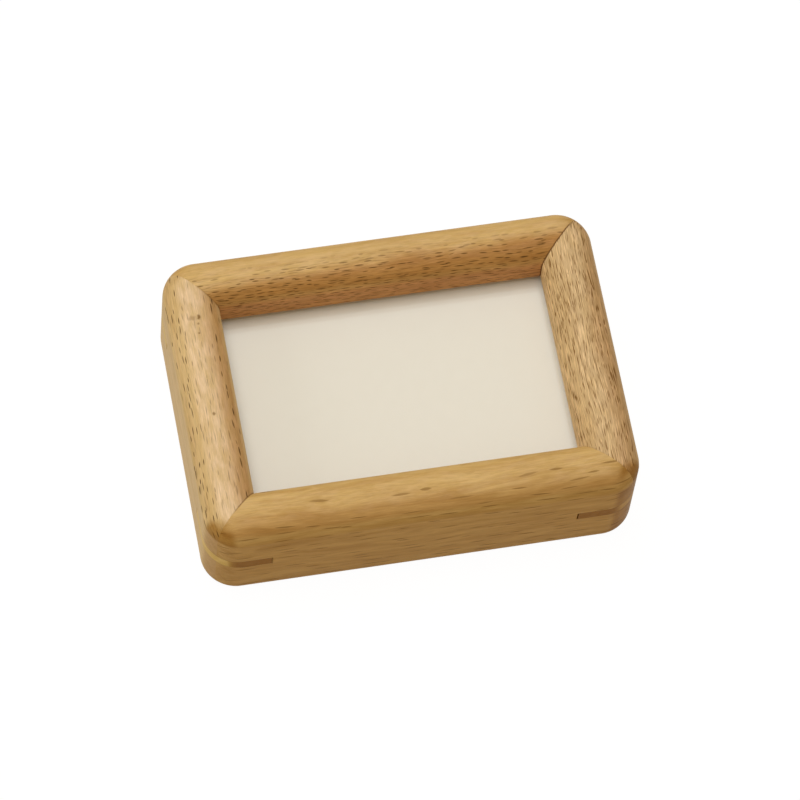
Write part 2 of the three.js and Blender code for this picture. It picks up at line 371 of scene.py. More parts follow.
def long_grain(nodes, given, place, side_face):
    """The colour of the wood before its fibres and rays, with a painted sheen on the crest."""
    # Year rings: a slow darkening that ends at a sharp line
    ring = nodes.math("FRACT", place.z / RING_PITCH)
    ring_line = ring.ramp(0.4, 0.9) * ring.ramp(0.9, 1.0, 1.0, 0.0)
    streak = place.noise(STREAK_SCALE, 2.5, 0.55).ramp(0.35, 0.68)
    tone = ring_line * 0.22 + streak * 0.8
    colour = (tone * given["Streaks"]).mix(given["Pale"], given["Deep"])

    # Painted sheen: faces that look up are painted paler, in mottles, and flakes lie open where a face
    # runs along the rays
    mottle = place.noise(MOTTLE_SCALE, 4.0, 0.6).ramp(0.3, 0.7, 0.3, 1.15)
    colour = (given["Rubbed"] * mottle).mix(colour, PAINTED_SHEEN_COLOUR)
    flake = place.noise(FLAKE_SCALE, 3.0, 0.6).ramp(0.45, 0.62) * side_face.ramp(0.3, 0.8)
    return (flake * given["Flakes"]).mix(colour, FLAKE_COLOUR)


# %% Spindles and dashes
SPINDLE_SCATTER = 0.9
DASH_SCALE = (0.32, 4.6, 0.9)
BAND_SCALE = (0.03, 0.3, 0.1)
RAY_FADE = 0.4
# How much the painted sheen pales the dark marks
SHEEN_FLECK_FADE = 0.75


def spindles(nodes, place, pitch, size, amount):
    """Lens shapes, one in each cell of a stretched grid: a mask, and a random number for each.

    They depend on X and Y only, as a ray is a plate that runs on along Z."""
    cells = place / pitch
    parts = {"Vector": cells, "Scale": 1.0, "Randomness": SPINDLE_SCATTER}
    scatter = nodes.values("TexVoronoi", parts, voronoi_dimensions="2D")
    chance = scatter["Color"]
    offset = (cells - scatter["Position"]) * pitch
    half_length = size.x * (chance.x * 0.7 + 0.55)
    lean = chance.z * 0.08 - 0.04
    across = abs(offset.x * lean + offset.y)
    lens = across / size.y + (offset.x / half_length) ** 2
    return lens.ramp(0.5, 1.0, 1.0, 0.0) * (chance.y < amount), chance.z


def ray_marks(nodes, given, place, ray_face):
    """Masks of the pale and of the dark marks on faces that cut across the rays."""
    limit = given["Ray Limit"]
    cut_across = ray_face.ramp(limit, limit + RAY_FADE)
    dashes = cut_across * given["Dashes"]
    dash = place.noise(DASH_SCALE, 0.5)
    pale = dash.ramp(0.56, 0.68) * dashes
    dark = dash.ramp(0.28, 0.41, 0.95, 0.0) * dashes

    # The spindles keep to loose bands, and all dark marks are fainter under the painted sheen on the
    # crest
    amount = given["Fleck Amount"] * place.noise(BAND_SCALE, 1.5).ramp(0.38, 0.62, 0.6, 1.2)
    large, chance = spindles(nodes, place, given["Fleck Pitch"], given["Fleck Size"], amount)
    large = large * (chance * 0.35 + 0.65)
    fleck = nodes.math("MAXIMUM", large * cut_across, dark)
    return pale, fleck * (given["Rubbed"] * -SHEEN_FLECK_FADE + 1.0)


# %% The beech figure as a node group
SWAY_SCALE = (0.03, 0.08, 0.08)
STREAK_SWAY = (0, 7, 7)
FLECK_SWAY = (0, 2, 2)
FIBRE_SCALE = (0.3, 4.5, 4.5)
PALE_DASH = (1.34, 1.36, 1.4, 1)
# Brown for the heartwood side; on the rails it paints shade on slopes turned from the lamp
HEART_AND_SHADE_TINT = (0.7, 0.54, 0.43, 1)
END_GRAIN_TINT = (0.62, 0.48, 0.25, 1)


def beech_figure():
    nodes, given, made = new_tree(
        "beech_figure", "Shader",
        {"Vector": "Place, Facing, Fleck Pitch, Fleck Size", "Color": "Pale, Deep, Fleck",
         "Float": "Streaks, Rubbed, Flakes, Fleck Amount, Dashes, Ray Limit, Heart, Burn"},
        {"Color": "Color", "Float": "Roughness, Height"})
    facing = abs(given["Facing"])

    # The grain wanders a little, so one slow noise bends it: rings and streaks more, flecks less
    sway = given["Place"].noise(SWAY_SCALE, 1.5, out="Color") - 0.5
    bent = given["Place"] + sway * STREAK_SWAY
    straight = given["Place"] + sway * FLECK_SWAY

    # Fibres are fine short lines along the grain. A browner heartwood tint follows: on the slips it is a
    # browner board and end, on the rails it is painted shade on the slopes that face away from the lamp
    fibre = straight.noise(FIBRE_SCALE, 3.0, 0.65)
    colour = long_grain(nodes, given, bent, facing.y) * fibre.ramp(0.25, 0.75, 0.9, 1.09)
    colour = given["Heart"].mix(colour, HEART_AND_SHADE_TINT, "MULTIPLY")
    pale, fleck = ray_marks(nodes, given, straight, facing.z)
    colour = pale.mix(colour, PALE_DASH, "MULTIPLY")
    colour = fleck.mix(colour, given["Fleck"])

    # End grain is darker and warmer, most of all where the cutter burned it
    end = facing.x.ramp(0.12, 0.36) * given["Burn"]
    nodes.plug(made["Color"], end.mix(colour, END_GRAIN_TINT, "MULTIPLY"))
    nodes.plug(made["Roughness"], fleck * 0.12 + fibre * 0.12 + 0.44)
    nodes.plug(made["Height"], fleck * -0.6 + fibre * 0.35)
    return nodes.done()


BEECH_FIGURE = beech_figure()

# %% [markdown]
# The mitre joints show as thin brown lines, because glue and oil gather in them, and each corner has its
# own strength. A point is on a mitre where it is as far from one outside face as from the other, so one
# group finds all four.

# %% The mitre lines as a node group
LINE_CORE = 0.05
LINE_EDGE = 0.8
LINE_RAGGED_SCALE = 1.6
WEAK_LINE_END = 8.0
STRONG_LINE_END = 2.0
LINE_FADE = 3.0


def mitre_lines():
    nodes, given, made = new_tree(
        "mitre_lines", "Shader",
        {"Vector": "Place, Half Size", "Float": "Bottom Left, Bottom Right, Top Right, Top Left"},
        {"Float": "Line"})
    place = given["Place"]
    inset = given["Half Size"] - abs(place)
    ragged_edge = place.noise(LINE_RAGGED_SCALE) * LINE_EDGE
    line = abs(inset.x - inset.y).ramp(LINE_CORE, ragged_edge, 1.0, 0.0)

    # Each corner's strength is picked by the signs of X and Y
    rightwards = place.x > 0.0
    lower = rightwards.between(given["Bottom Left"], given["Bottom Right"])
    upper = rightwards.between(given["Top Left"], given["Top Right"])
    strength = (place.y > 0.0).between(lower, upper)

    # A weak line dies out further from the outside than a strong one
    end = (strength**2).between(WEAK_LINE_END, STRONG_LINE_END)
    outermost = nodes.math("MINIMUM", inset.x, inset.y)
    nodes.plug(made["Line"], line * outermost.ramp(end, end + LINE_FADE) * strength)
    return nodes.done()


MITRE_LINES = mitre_lines()

# %% [markdown]
# Each rail was sawn from another board, so each has its own beech. The grain runs along the rail, which
# is X on the long rails and Y on the short ones, and `ray_turn` turns the rays about the rail: with 0
# they stand upright, so that the crest cuts across them.
#
# More differs along a rail, and each of these has its own small function: the board gets browner towards
# its heartwood side, which paints shade on the slopes that face away from the lamp; the cutter burned
# some ends; upright faces get painted light and shade against the crest; and one rail has a few small
# knots.
# `rise` is how far a face looks up: 1 is level and 0 upright.

# %% What differs along a rail
KNOT_STAIN = (0.2, 0.1, 0.03, 1)
HEART_SHADE_WANDER = 5.0
HEART_SHADE_WANDER_SCALE = 0.06
KNOT_RAGGED = 0.8
KNOT_RAGGED_SCALE = 1.5


def painted_heart_shade(place, grain, rise, axis, pale_at, brown_at, front, upright, drift):
    """Painted shade, drawn as browner heartwood between two places on an axis, which drift along the
    rail.
    """
    wander = grain.noise(HEART_SHADE_WANDER_SCALE) * HEART_SHADE_WANDER - HEART_SHADE_WANDER / 2
    across = place.part(axis) + wander + grain.x * drift
    return across.ramp(pale_at, brown_at, 0.0, rise.ramp(0.35, 0.75, upright, front))


def burnt_ends(grain, rise, near, far):
    """How dark the end grain is. Each end has a value for the round-over and one for the rest."""
    far_end = grain.x > 0.0
    on_round, on_rest = [far_end.between(*pair) for pair in zip(near, far)]
    round_over = rise.ramp(0.0, 0.16) * rise.ramp(0.6, 0.85, 1.0, 0.0)
    return round_over.between(on_rest, on_round)


def painted_side_light(colour, place, normal, facing, wall, edge):
    """Painted light and shade: one tint on the walls of the opening and another on the outside edge."""
    upright = normal.z.ramp(0.15, 0.6, 1.0, 0.0) * abs(facing).x.ramp(0.15, 0.5, 1.0, 0.0)
    outwards = place.nodes.math("DOT_PRODUCT", normal, place, out="Value") > 0.0
    return upright.mix(colour, outwards.mix(wall, edge), "MULTIPLY")


def knotted(colour, place, knots):
    """A colour with knots, each given by its place, its half sizes and its strength."""
    ragged = place.noise(KNOT_RAGGED_SCALE, 3.0) * KNOT_RAGGED - KNOT_RAGGED / 2
    for spot, size, strength in knots:
        away = place.nodes.math("LENGTH", (place - spot) / size, out="Value") + ragged
        colour = away.ramp(0.3, 1.0, strength, 0.0).mix(colour, KNOT_STAIN)
    return colour


# %% One rail's beech
WOOD_SPECULAR = 0.06
WOOD_RELIEF = 0.05 * MM
JOINT_STAIN = (0.13, 0.055, 0.015, 1)
MITRE_STAIN = {"Bottom Left": 0.6, "Bottom Right": 0.1, "Top Right": 0.9, "Top Left": 0.3}


def new_finish(name, specular=0.5):
    """A new material, its nodes and its shader."""
    material = bpy.data.materials.new(name)
    material.use_nodes = True
    shader = material.node_tree.nodes["Principled BSDF"]
    shader.inputs["Specular IOR Level"].default_value = specular
    return material, Nodes(material.node_tree), shader


def coat(nodes, shader, colour, roughness, height, strength, relief):
    """Gives a shader its colour, roughness and fine relief."""
    bump = nodes.value("Bump", {"Height": height, "Strength": strength, "Distance": relief})
    for label, value in {"Base Color": colour, "Roughness": roughness, "Normal": bump}.items():
        nodes.plug(shader.inputs[label], value)


def along_grain(vector, grain_turn, ray_turn, kind):
    """A vector turned so that X runs along the grain and Z along the rays."""
    for turn in ((0, 0, grain_turn), (ray_turn, 0, 0)):
        parts = {"Vector": vector, "Rotation": turn}
        vector = vector.nodes.value("Mapping", parts, vector_type=kind)
    return vector


def beech(name, grain_turn, ray_turn, start, rubbed, near, far, wall, edge, knots, heart, figure_values):
    material, nodes, shader = new_finish(name, WOOD_SPECULAR)
    place = nodes.millimetres()
    normal = nodes.value("NewGeometry", out="Normal")
    rise = normal.z
    grain = along_grain(place, grain_turn, ray_turn, "POINT")
    facing = along_grain(normal, grain_turn, ray_turn, "NORMAL")
    figure = nodes.values("Group", {
        "Place": grain + start,
        "Facing": facing,
        # Painted sheen on faces that look up, most of all the crest
        "Rubbed": rise.ramp(0.81, 0.99, 0.0, rubbed),
        "Burn": burnt_ends(grain, rise, near, far),
        # Painted shade on the slopes that face away from the lamp
        "Heart": painted_heart_shade(place, grain, rise, **heart),
        **figure_values,
    }, node_tree=BEECH_FIGURE)
    half_size = (FRAME_WIDTH / 2 / MM, FRAME_HEIGHT / 2 / MM, 0)
    joint = nodes.value("Group", {"Place": place, "Half Size": half_size, **MITRE_STAIN},
                        node_tree=MITRE_LINES)
    # Painted light and shade on the walls of the opening and on the outside edge
    colour = painted_side_light(figure["Color"], place, normal, facing, wall, edge)
    colour = knotted(joint.mix(colour, JOINT_STAIN), place, knots)
    coat(nodes, shader, colour, figure["Roughness"], figure["Height"], strength=0.35, relief=WOOD_RELIEF)
    return material


# %% [markdown]
# The values below were found one by one. Each row holds one value for each rail, in the order of `RAILS`.
# Places are in millimetres, and a tint of 1 leaves a colour as it is. `near` is the left or the front end
# of a rail.

# %% The four rails' beech
X, Y = 0, 1
RAILS = ("bottom", "top", "left", "right")
BEECH_FLECK = (0.08, 0.036, 0.008, 1)
LEFT_KNOTS = [
    ((-45.2, 21.2, 30.0), (0.6, 1.0, 1.5), 0.85),
    ((-46.8, 21.1, 30.0), (1.5, 0.9, 1.5), 0.4),
    ((-45.6, 19.5, 30.0), (0.4, 0.45, 1.0), 0.6),
    ((-45.8, 17.0, 30.0), (0.35, 0.4, 1.0), 0.7),
    ((-45.9, -4.5, 30.0), (0.6, 0.6, 1.0), 0.7),
]
RAIL_BEECH = {
    "grain_turn": (0.0, 0.0, -QUARTER, -QUARTER),
    "ray_turn": [math.radians(angle) for angle in (-60, -60, 15, 20)],
    "start": ((0, 0, 0), (140, 31, 12), (61, -40, 7), (-83, 11, 20)),
    # Strength of each rail's painted sheen on the crest
    "rubbed": (0.15, 0.2, 0.8, 0.3),
    "near": ((0.85, 0.2), (0.3, 0.2), (0.95, 0.42), (1.0, 0.75)),
    "far": ((0.2, 0.85), (0.3, 0.2), (0.2, 0.2), (0.2, 0.2)),
    # Painted light and shade: tints for the walls of the opening and for the outside edge
    "wall": ((1.0, 0.97, 0.93, 1), (1.16, 1.02, 1.2, 1), (1.05, 1.1, 1.1, 1), (1.22, 1.26, 1.26, 1)),
    "edge": ((1.0, 0.97, 0.93, 1), (1.0, 1.0, 1.0, 1), (1.05, 1.1, 1.1, 1), (1.22, 1.26, 1.26, 1)),
    "knots": ((), (), LEFT_KNOTS, ()),
}
# Painted shade: a browner heartwood side laid on the slopes that face away from the lamp
RAIL_HEART_SHADE = {
    "axis": (Y, Y, X, X),
    "pale_at": (-30.3, 32, -46, 46),
    "brown_at": (-36.5, 27.5, -41, 50),
    "front": (0.65, 1.0, 0.72, 0.42),
    "upright": (0.0, 0.45, 0.0, 0.0),
    "drift": (0.0, -0.04, 0.0, -0.06),
}
RAIL_FIGURE = {
    "Pale": ((0.6, 0.383, 0.136, 1), (0.58, 0.366, 0.126, 1),
             (0.605, 0.41, 0.184, 1), (0.525, 0.345, 0.16, 1)),
    "Deep": ((0.47, 0.271, 0.078, 1), (0.445, 0.25, 0.071, 1),
             (0.495, 0.303, 0.104, 1), (0.44, 0.267, 0.102, 1)),
    "Fleck": ((0.26, 0.14, 0.04, 1), BEECH_FLECK, (0.055, 0.024, 0.006, 1), (0.17, 0.075, 0.016, 1)),
    "Fleck Pitch": ((10, 2.0, 1), (3.4, 0.8, 1), (3.7, 1.1, 1), (2.9, 0.9, 1)),
    "Fleck Size": ((3.0, 0.19, 0), (1.35, 0.135, 0), (1.5, 0.155, 0), (1.2, 0.13, 0)),
    "Fleck Amount": (0.8, 1.05, 0.74, 0.6),
    "Dashes": (0.1, 0.4, 0.25, 1.0),
    "Ray Limit": (0.12, 0.3, 0.18, 0.12),
    "Streaks": (0.95, 0.6, 0.6, 0.5),
    "Flakes": (0.1, 0.15, 0.2, 0.2),
}


def column(table, name):
    """One rail's values in a table."""
    return {label: values[RAILS.index(name)] for label, values in table.items()}


RAIL_FINISH = {
    name: beech(f"beech_{name}", heart=column(RAIL_HEART_SHADE, name), figure_values=column(RAIL_FIGURE, name),
                **column(RAIL_BEECH, name))
    for name in RAILS}
print("rail finishes:", ", ".join(material.name for material in RAIL_FINISH.values()))

# %% [markdown]
# ## The rails
#
# A rail is one moulded section, swept along a straight line and cut at 45 degrees at both ends; the
# outside corner of the ring is rounded afterwards. A maker would run the moulding through a router, mitre
# and glue it, and round the corners on a sander. Here a Geometry Nodes tree follows the same rule. It
# sweeps the section along a line, and each point then finds its place: the nearer it is to the inside,
# the shorter its run, which makes the mitre, and near the outside corner its run bends round an arc.

# %% The rail's section
BACK_STEPS, OUTER_STEPS, INNER_STEPS = 10, 20, 24


def arc(middle, radius, start, end, steps):
    """Points on part of an ellipse, from one angle in degrees to another."""
    angles = [math.radians(start + (end - start) * step / steps) for step in range(steps + 1)]
    return [(middle[0] + radius[0] * math.cos(a), middle[1] + radius[1] * math.sin(a)) for a in angles]


def rail_section():
    """The section as distance from the outside face and height above the back."""
    back, front = BACK_EDGE_RADIUS, FRONT_OUTER_RADIUS
    inner = (FRONT_INNER_WIDTH, FRONT_INNER_DEPTH)
    points = arc((back, back), (back, back), 270, 180, BACK_STEPS)
    points += arc((front, FRAME_DEPTH - front), (front, front), 180, 90, OUTER_STEPS)
    points += arc((RAIL_WIDTH - inner[0], FRAME_DEPTH - inner[1]), inner, 90, 0, INNER_STEPS)
    points += [(RAIL_WIDTH, LIP_Z), (REBATE_WALL, LIP_Z)]
    points += [(REBATE_WALL, BACK_ARRIS), (REBATE_WALL - BACK_ARRIS, 0)]
    mesh = bpy.data.meshes.new("rail_section")
    loop = [(k, (k + 1) % len(points)) for k in range(len(points))]
    mesh.from_pydata([(u, z, 0) for u, z in points], loop, [])
    return mesh


RAIL_SECTION = rail_section()
print("rail section:", len(RAIL_SECTION.vertices), "points")

# %% The tree that sweeps, mitres and rounds a rail
SHORTEST_ARM = 1e-6


def swept(nodes, section, steps):
    """The section swept from X = -1 to 1, and each point's places on the section and on the line."""
    def remembering(curve, label):
        keep = nodes.add("GeometryNodeCaptureAttribute", domain="POINT")
        keep.capture_items.new("VECTOR", label)
        nodes.plug(keep.inputs[0], curve)
        nodes.plug(keep.inputs[1], nodes.shape("InputPosition"))
        return [Value(nodes, socket) for socket in keep.outputs[:2]]

    outline, on_section = remembering(nodes.shape("MeshToCurve", {0: section}), "Section")
    line = nodes.shape("CurvePrimitiveLine", {"Start": (-1, 0, 0), "End": (1, 0, 0)})
    line, on_line = remembering(nodes.shape("ResampleCurve", {"Curve": line, "Count": steps}), "Along")
    parts = {"Curve": line, "Profile Curve": outline, "Fill Caps": True}
    return nodes.shape("CurveToMesh", parts), on_section, on_line


def mitred_rail_tree():
    nodes, given, made = new_tree(
        "mitred_rail", "Geometry",
        {"Geometry": "Section", "Int": "Steps", "Material": "Finish",
         "Float": "Length, Across, Corner Radius, Rounded Width, Gap at Start, Gap at End, Turn"},
        {"Geometry": "Rail"})
    sweep, on_section, on_line = swept(nodes, given["Section"], given["Steps"])
    inwards = on_section.x
    share = on_line.x

    # The mitre: the run gets shorter by as much as the point lies inwards
    half = given["Length"] * 0.5
    gap = (share > 0.0).between(given["Gap at Start"], given["Gap at End"])
    from_end = half - abs(share * (half - inwards - gap))

    # The outside corner: within the radius of the end, the run bends round an arc of 45 degrees
    radius = given["Corner Radius"]
    arm = nodes.math("MAXIMUM", radius - inwards, SHORTEST_ARM)
    past = radius - from_end
    angle = past / arm * (QUARTER / 2)
    bent = (past > 0.0) * (inwards < given["Rounded Width"])
    inwards = bent.between(inwards, radius - arm * nodes.math("COSINE", angle))
    from_end = bent.between(from_end, radius - arm * nodes.math("SINE", angle))

    x = nodes.math("SIGN", share) * (half - from_end)
    place = nodes.combine(x, inwards - given["Across"] * 0.5, on_section.y)
    turned = nodes.turned(place, given["Turn"])
    shaped = nodes.shape("SetPosition", {"Geometry": sweep, "Position": turned})
    nodes.put_out(made["Rail"], shaped, given["Finish"])
    return nodes.done()


MITRED_RAIL = mitred_rail_tree()

# %% [markdown]
# Two kinds of cut remain in each rail. A kerf crosses each corner, a little deeper than the spline in it,
# and a shallow curved slot in the rebate takes the tip of a clip. A Boolean modifier cuts both from the
# plain mesh that the tree made.

# %% Cutters for the kerfs and the clip slots
spline_low, spline_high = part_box("corner_spline_bottom_left")
clip_low, clip_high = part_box("swivel_clip_bottom")
pivot_low, pivot_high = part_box("clip_rivet_bottom")
SPLINE_REACH = spline_high.x - spline_low.x
KERF_SPARE = 0.35 * MM
SAW_OVERRUN = 2 * MM
SLOT_CLEARANCE = 0.5 * MM
SLOT_SIDES = 96
CLIP_PIVOT_Y = (pivot_low.y + pivot_high.y) / 2
CLIP_REACH = CLIP_PIVOT_Y - clip_low.y
CLIP_SETBACK = CLIP_PIVOT_Y - (cad_low.y + REBATE_WALL)


def prism(shape, outline, low, high):
    """Adds an upright prism on a flat outline to a bmesh."""
    bottom = shape.faces.new([shape.verts.new((x, y, low)) for x, y in outline])
    top = bmesh.ops.extrude_face_region(shape, geom=[bottom])["geom"]
    moved = [item for item in top if isinstance(item, bmesh.types.BMVert)]
    bmesh.ops.translate(shape, verts=moved, vec=(0, 0, high - low))


def rail_cutter(side):
    """The kerfs at both ends and the clip slot, for the rail drawn at -Y and turned into place."""
    shape = bmesh.new()
    over = SAW_OVERRUN
    reach = SPLINE_REACH + KERF_SPARE + over
    y = -side["across"] / 2
    for end in (-1, 1):
        x = end * side["length"] / 2
        corner = [(x + end * over, y - over), (x - end * reach, y - over), (x + end * over, y + reach)]
        prism(shape, corner, spline_low.z, spline_high.z)
    pivot = (0, y + REBATE_WALL + CLIP_SETBACK)
    disc = arc(pivot, (CLIP_REACH + SLOT_CLEARANCE,) * 2, 0, 360 - 360 / SLOT_SIDES, SLOT_SIDES - 1)
    prism(shape, disc, clip_low.z - SLOT_CLEARANCE, clip_high.z + SLOT_CLEARANCE)
    bmesh.ops.rotate(shape, verts=shape.verts, matrix=Matrix.Rotation(side["turn"], 3, "Z"))
    return welded(shape, bpy.data.meshes.new("rail_cutter"))


def cut(mesh, cutter_mesh):
    """A mesh with another one cut away."""
    blank = placed("blank", mesh)
    cutter = placed("cutter", cutter_mesh)
    saw = blank.modifiers.new("saw", "BOOLEAN")
    saw.operation = "DIFFERENCE"
    saw.solver = "EXACT"
    saw.object = cutter
    sawn = plain_mesh(blank)
    bpy.data.objects.remove(cutter)
    return sawn


print("kerf and slot in mm:", in_mm((SPLINE_REACH + KERF_SPARE, CLIP_REACH + SLOT_CLEARANCE)))

# %% [markdown]
# A glued mitre is never quite closed, so each corner keeps a gap of a few thousandths of a millimetre.
# All four rails come out of the one tree, each with its own length, place and wood. Going round the ring,
# each rail starts at the corner where the last one ended.

# %% Make the four rails
MITRE_GAP_MM = {"bottom_left": 0.006, "bottom_right": 0.004, "top_right": 0.012, "top_left": 0.006}
ROUNDING_SPARE = 0.1 * MM
STEPS_PER_METRE = 2200


def make_rail(name, side, first_gap, last_gap):
    mesh = grown(f"rail_{name}", RAIL_SECTION, MITRED_RAIL, {
        "Length": side["length"],
        "Across": side["across"],
        "Corner Radius": CORNER_RADIUS,
        "Rounded Width": FRONT_OUTER_RADIUS + ROUNDING_SPARE,
        "Gap at Start": first_gap,
        "Gap at End": last_gap,
        "Turn": side["turn"],
        "Steps": round(side["length"] * STEPS_PER_METRE),
        "Finish": RAIL_FINISH[name],
    })
    shape = bmesh.new()
    shape.from_mesh(mesh)
    sawn = cut(welded(shape, mesh), rail_cutter(side))
    show(f"beech_rail_{name}", sawn, "frame", "beech", f"rail_{name}")


gaps = [gap * MM for gap in MITRE_GAP_MM.values()]
for side_name, first_gap, last_gap in zip(SIDES, gaps, gaps[1:] + gaps[:1]):
    make_rail(side_name, SIDES[side_name], first_gap, last_gap)

# %% [markdown]
# ## The corner splines
#
# A spline is a thin slip of wood, glued into the kerf across a mitre and sanded flush. Its grain runs
# along the short sides of the ring, so the long faces cut it through and show it dark, while the corner
# and the short faces show pale long grain. Glue darkens both edges of a slip, and the slips on the right
# are of a browner board. The beech figure serves here too, with other values.

# %% Spline wood
GLUE_LINE = 0.3
GLUE_STAIN = 0.4
BROWNER_SLIP = 0.7
BROWNER_END = 0.65
SPLINE_START = (9, 4, 2)
SPLINE_FIGURE = {
    "Pale": (0.7, 0.49, 0.165, 1), "Deep": (0.6, 0.395, 0.095, 1), "Fleck": BEECH_FLECK,
    "Fleck Pitch": (2.4, 0.9, 1), "Fleck Size": (0.7, 0.15, 0), "Fleck Amount": 0.5,
    "Dashes": 0.3, "Ray Limit": 0.3, "Streaks": 0.8, "Flakes": 0.0, "Rubbed": 0.0,
}


def spline_wood():
    material, nodes, shader = new_finish("spline_wood", WOOD_SPECULAR)
    place = nodes.millimetres()
    normal = nodes.value("NewGeometry", out="Normal")
    cut_through = abs(normal).y.ramp(0.88, 0.99)
    browner_slip = (place.x > 0.0) * BROWNER_SLIP
    figure = nodes.values("Group", {
        "Place": along_grain(place, -QUARTER, 0, "POINT") + SPLINE_START,
        "Facing": along_grain(normal, -QUARTER, 0, "NORMAL"),
        "Burn": cut_through,
        "Heart": nodes.math("MAXIMUM", browner_slip, cut_through * BROWNER_END),
        **SPLINE_FIGURE,
    }, node_tree=BEECH_FIGURE)
    half = (spline_high.z - spline_low.z) / 2 / MM
    from_middle = abs(place.z - (spline_high.z + spline_low.z) / 2 / MM)
    glue = from_middle.ramp(half - GLUE_LINE, half, 0.0, GLUE_STAIN)
    colour = glue.mix(figure["Color"], JOINT_STAIN)
    coat(nodes, shader, colour, figure["Roughness"], figure["Height"], strength=0.4, relief=WOOD_RELIEF)
    return material


SPLINE_FINISH = spline_wood()
print("spline finish:", SPLINE_FINISH.name)

# %% [markdown]
# All four slips are alike, with the ring's own rounded corner. One slip is drawn with its corner at the
# origin, and a tree puts it on the four points of a circle, turned and stretched to the frame's corners.
# Each slip is a quarter turn further.

# %% Place the splines
CORNER_STEPS = 32
FIRST_CORNER = 2.5 * QUARTER


def ring_of_four_tree():
    nodes, given, made = new_tree(
        "ring_of_four", "Geometry",
        {"Geometry": "Item", "Vector": "Spread", "Float": "Start", "Material": "Finish"},
        {"Geometry": "Ring"})
    circle = nodes.shape("MeshCircle", {"Vertices": 4, "Radius": 1.0})
    place = nodes.turned(nodes.shape("InputPosition"), given["Start"]) * given["Spread"]
    points = nodes.shape("SetPosition", {"Geometry": circle, "Position": place})
    rotation = nodes.combine(z=nodes.shape("InputIndex") * QUARTER)
    parts = {"Points": points, "Instance": given["Item"], "Rotation": rotation}
    nodes.put_out(made["Ring"], nodes.shape("InstanceOnPoints", parts), given["Finish"])
    return nodes.done()


def spline_slip():
    """One slip, its corner at the origin and its legs along +X and +Y."""
    outline = [(SPLINE_REACH, 0)]
    outline += arc((CORNER_RADIUS, CORNER_RADIUS), (CORNER_RADIUS,) * 2, 270, 180, CORNER_STEPS)
    outline += [(0, SPLINE_REACH)]
    shape = bmesh.new()
    prism(shape, outline, spline_low.z, spline_high.z)
    return welded(shape, bpy.data.meshes.new("spline_slip"))


RING_OF_FOUR = ring_of_four_tree()
splines = grown("corner_splines", spline_slip(), RING_OF_FOUR, {
    "Spread": (FRAME_WIDTH / math.sqrt(2), FRAME_HEIGHT / math.sqrt(2), 1.0),
    "Start": FIRST_CORNER,
    "Finish": SPLINE_FINISH,
})
spline_nodes = [f"corner_spline_{name}" for name in MITRE_GAP_MM]
show("corner_splines", splines, "frame", "spline_wood", *spline_nodes)

# %% [markdown]
# ## Swivel clips and rivets
#
# Clips and rivets are zinc-plated steel. Zinc grows in grey crystals that differ a little in tone, dulls
# in clouds and picks up fine scratches. A Voronoi texture gives the crystals and two noises the rest.

# %% Zinc-plated steel
CRYSTAL_SCALE = 0.9
DULL_SCALE = 0.5
SCRATCH_SCALE = (0.4, 9.0, 4.0)
BRIGHT_ZINC = (0.6, 0.605, 0.61, 1)
GREY_ZINC = (0.5, 0.51, 0.53, 1)
DULL_ZINC = (0.42, 0.41, 0.38, 1)
ZINC_RELIEF = 0.02 * MM


def plated_steel():
    material, nodes, shader = new_finish("zinc_plated_steel")
    shader.inputs["Metallic"].default_value = 1.0
    place = nodes.millimetres()
    crystals = nodes.value("TexVoronoi", {"Vector": place, "Scale": CRYSTAL_SCALE}, "Color")
    dull = place.noise(DULL_SCALE, 4.0).ramp(0.5, 0.72)
    colour = dull.mix(crystals.x.mix(GREY_ZINC, BRIGHT_ZINC), DULL_ZINC)
    scratch = place.noise(SCRATCH_SCALE, 3.0, 0.7)
    rough = scratch * 0.22 + dull * 0.15 + 0.2
    coat(nodes, shader, colour, rough, scratch, strength=0.25, relief=ZINC_RELIEF)
    return material


STEEL = plated_steel()
print("clip finish:", STEEL.name)

# %% [markdown]
# A swivel clip is stamped from thin steel sheet: a round eye for the rivet and a narrower round tip that
# turns into the rail's slot. The tree makes two short cylinders, wraps them in their convex hull and
# punches the hole. A fine bevel breaks the stamped edge. Each clip turns on its own body, so each is a
# mesh of its own.

# %% The swivel clips
CLIP_EYE_RADIUS = (clip_high.x - clip_low.x) / 2
CLIP_THICKNESS = clip_high.z - clip_low.z
CLIP_TIP_RADIUS = 2.5 * MM
CLIP_HOLE_RADIUS = 1.65 * MM
CLIP_SIDES = 64
STAMPED_EDGE = 0.12 * MM


def swivel_clip_tree():
    nodes, given, made = new_tree(
        "swivel_clip", "Geometry",
        {"Geometry": "Empty", "Vector": "Pivot", "Float": "Turn", "Material": "Finish"},
        {"Geometry": "Clip"})

    def disc(radius, depth=CLIP_THICKNESS, y=0.0):
        body = nodes.shape("MeshCylinder", {"Vertices": CLIP_SIDES, "Radius": radius, "Depth": depth})
        return nodes.shape("Transform", {"Geometry": body, "Translation": (0, y, 0)})

    both = nodes.add("GeometryNodeJoinGeometry")
    nodes.plug(both.inputs[0], disc(CLIP_EYE_RADIUS))
    nodes.plug(both.inputs[0], disc(CLIP_TIP_RADIUS, y=CLIP_TIP_RADIUS - CLIP_REACH))
    blank = nodes.shape("ConvexHull", {0: Value(nodes, both.outputs[0])})
    punch = disc(CLIP_HOLE_RADIUS, depth=3 * CLIP_THICKNESS)
    clip = nodes.shape("MeshBoolean", {"Mesh 1": blank, "Mesh 2": punch}, operation="DIFFERENCE")
    turn = nodes.combine(z=given["Turn"])
    clip = nodes.shape("Transform", {"Geometry": clip, "Translation": given["Pivot"], "Rotation": turn})
    nodes.put_out(made["Clip"], clip, given["Finish"])
    return nodes.done()


SWIVEL_CLIP = swivel_clip_tree()


